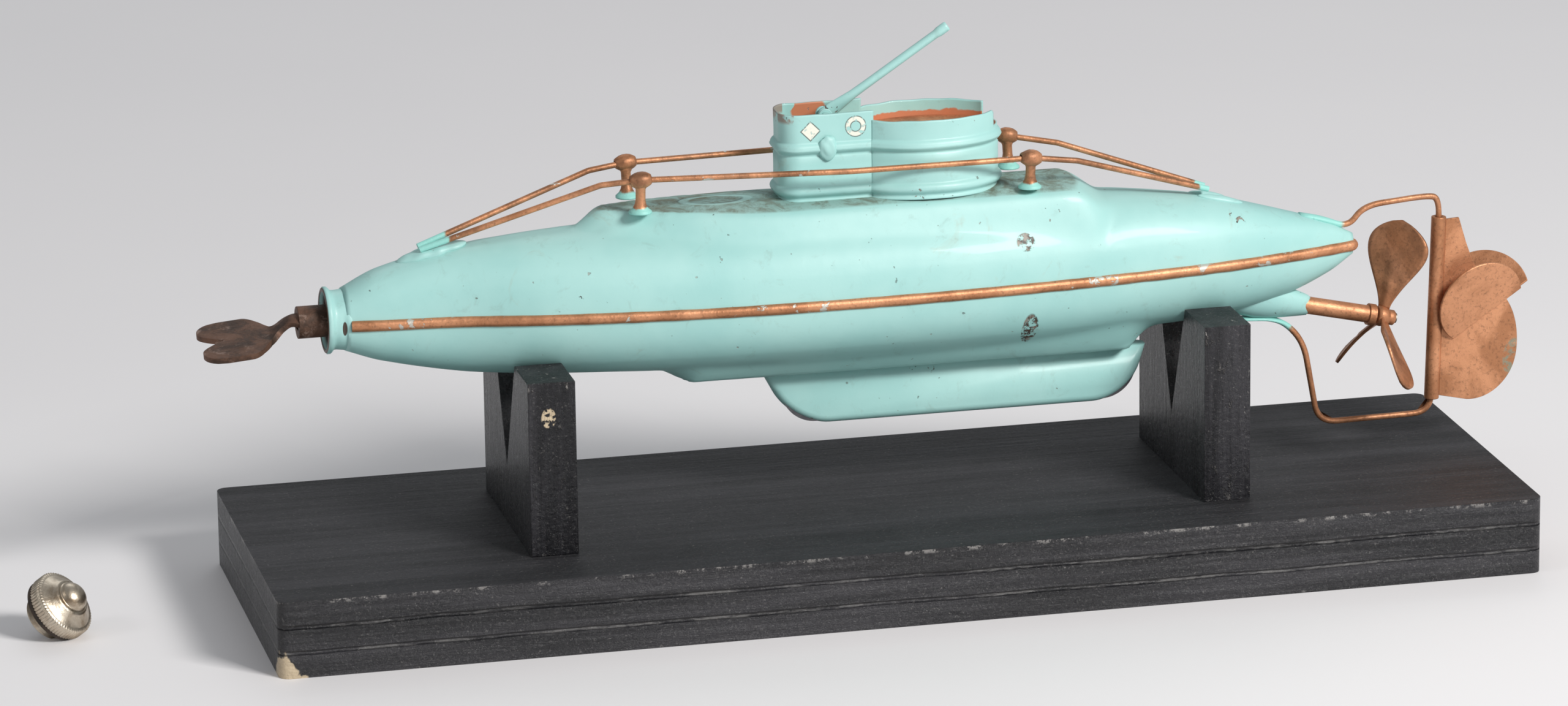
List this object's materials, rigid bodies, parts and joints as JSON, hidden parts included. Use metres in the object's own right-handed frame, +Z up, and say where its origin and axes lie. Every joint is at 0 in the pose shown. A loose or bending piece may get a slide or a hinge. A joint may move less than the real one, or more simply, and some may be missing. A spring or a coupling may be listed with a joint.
{
  "type": "toy submarine",
  "caption": "Clockwork tinplate toy submarine with a folding periscope, hand rails, screw propeller and rudder, resting on a wooden two-post display stand.",
  "frame": {"origin": "centre of the display board's underside", "axes": "+X towards the stern and rudder, +Y to the far side, +Z up from the surface that the stand rests on"},
  "size_m": [0.3582, 0.091, 0.1299],
  "materials": {
    "black_wood": "black paint over plywood, worn at the edges",
    "screw_steel": "plain steel",
    "teal_paint": "gloss turquoise enamel over tinplate, chipped",
    "copper_paint": "copper bronze paint, chipped",
    "rusty_steel": "rusty brown steel",
    "nickel_plate": "worn nickel plate over brass",
    "leather": "dark oiled leather",
    "lead": "cast lead",
    "movement_brass": "stamped brass",
    "spring_steel": "blued spring steel",
    "shaft_steel": "drawn steel"
  },
  "bodies": {
    "stand": {"base_board": "black_wood", "front_post": "black_wood", "rear_post": "black_wood", "post_screws": "screw_steel"},
    "hull": {"arbor_bush": "movement_brass", "bow_collar": "teal_paint", "click_spring": "spring_steel", "front_movement_plate": "movement_brass", "handrail_left": "copper_paint", "handrail_right": "copper_paint", "keel_ballast": "lead", "keel_fin": "teal_paint", "keel_solder": "teal_paint", "lower_hull": "teal_paint", "mainspring": "spring_steel", "mast_bracket": "teal_paint", "mast_rivet": "screw_steel", "middle_movement_plate": "movement_brass", "movement_feet": "screw_steel", "plate_pillars": "screw_steel", "rail_solder": "teal_paint", "rear_movement_plate": "movement_brass", "rudder_wire_lower": "copper_paint", "rudder_wire_upper": "copper_paint", "seam_strake": "copper_paint", "stanchion_front_left": "copper_paint", "stanchion_front_right": "copper_paint", "stanchion_rear_left": "copper_paint", "stanchion_rear_right": "copper_paint", "stern_tube": "copper_paint", "stern_tube_solder": "teal_paint", "tower_floor": "copper_paint", "tower_front_shell": "teal_paint", "tower_rear_shell": "teal_paint", "upper_hull": "teal_paint"},
    "great_wheel": {"great_wheel": "movement_brass"},
    "winding_arbor": {"winding_arbor": "screw_steel", "ratchet_wheel": "screw_steel"},
    "click": {"click": "screw_steel"},
    "key": {"key_tube": "rusty_steel", "key_plate": "rusty_steel"},
    "second_arbor": {"second_pinion": "screw_steel", "second_wheel": "movement_brass"},
    "third_arbor": {"third_pinion": "screw_steel", "third_wheel": "movement_brass"},
    "drive": {"drive_arbor": "screw_steel", "drive_fork": "movement_brass"},
    "propeller": {"propeller_shaft": "shaft_steel", "propeller_hub": "copper_paint", "propeller_blades": "copper_paint", "propeller_nut": "copper_paint"},
    "periscope": {"periscope": "teal_paint"},
    "rudder": {"rudder_tube": "copper_paint", "rudder_plate": "copper_paint", "diving_plane_left": "copper_paint", "diving_plane_right": "copper_paint"},
    "nose_cap": {"nose_cap": "nickel_plate", "cap_washer": "leather"}
  },
  "joints": [
    {"name": "hull_lift", "type": "slide", "parent": "stand", "child": "hull", "axis": [0, 0, 1], "range_m": [0, 0.08]},
    {"name": "great_wheel_spin", "type": "hinge", "parent": "hull", "child": "great_wheel", "pos_m": [-0.0096, 0, 0.0695], "axis": [1, 0, 0], "continuous": true},
    {"name": "winding", "type": "hinge", "parent": "great_wheel", "child": "winding_arbor", "pos_m": [-0.0096, 0, 0.0695], "axis": [1, 0, 0], "continuous": true},
    {"name": "click_lift", "type": "hinge", "parent": "great_wheel", "child": "click", "pos_m": [-0.0112, 0.004, 0.0633], "axis": [-1, 0, 0], "range_deg": [0, 9]},
    {"name": "key_pull", "type": "slide", "parent": "winding_arbor", "child": "key", "axis": [-1, 0, 0], "range_m": [0, 0.018]},
    {"name": "second_arbor_spin", "type": "hinge", "parent": "hull", "child": "second_arbor", "pos_m": [-0.0096, 0, 0.081], "axis": [1, 0, 0], "continuous": true},
    {"name": "third_arbor_spin", "type": "hinge", "parent": "hull", "child": "third_arbor", "pos_m": [-0.0096, 0.00281, 0.07525], "axis": [1, 0, 0], "continuous": true},
    {"name": "drive_spin", "type": "hinge", "parent": "hull", "child": "drive", "pos_m": [0.03, 0, 0.0695], "axis": [1, 0, 0], "continuous": true},
    {"name": "propeller_spin", "type": "hinge", "parent": "hull", "child": "propeller", "pos_m": [0.1232, 0, 0.05142], "axis": [0.9763, 0, -0.2164], "continuous": true},
    {"name": "periscope_fold", "type": "hinge", "parent": "hull", "child": "periscope", "pos_m": [-0.0111, 0, 0.1095], "axis": [0, -1, 0], "range_deg": [-28, 57]},
    {"name": "rudder_turn", "type": "hinge", "parent": "hull", "child": "rudder", "pos_m": [0.1356, 0, 0.0304], "axis": [0.0293, 0, 0.9996], "range_deg": [-35, 35]},
    {"name": "nose_cap_lift", "type": "slide", "parent": "stand", "child": "nose_cap", "axis": [0, 0, 1], "range_m": [0, 0.05]}
  ],
  "couplings": [
    {"joint": "great_wheel_spin", "follows": "propeller_spin", "ratio": -0.030864},
    {"joint": "second_arbor_spin", "follows": "propeller_spin", "ratio": 0.11111},
    {"joint": "third_arbor_spin", "follows": "propeller_spin", "ratio": -0.33333},
    {"joint": "drive_spin", "follows": "propeller_spin", "ratio": 1}
  ]
}
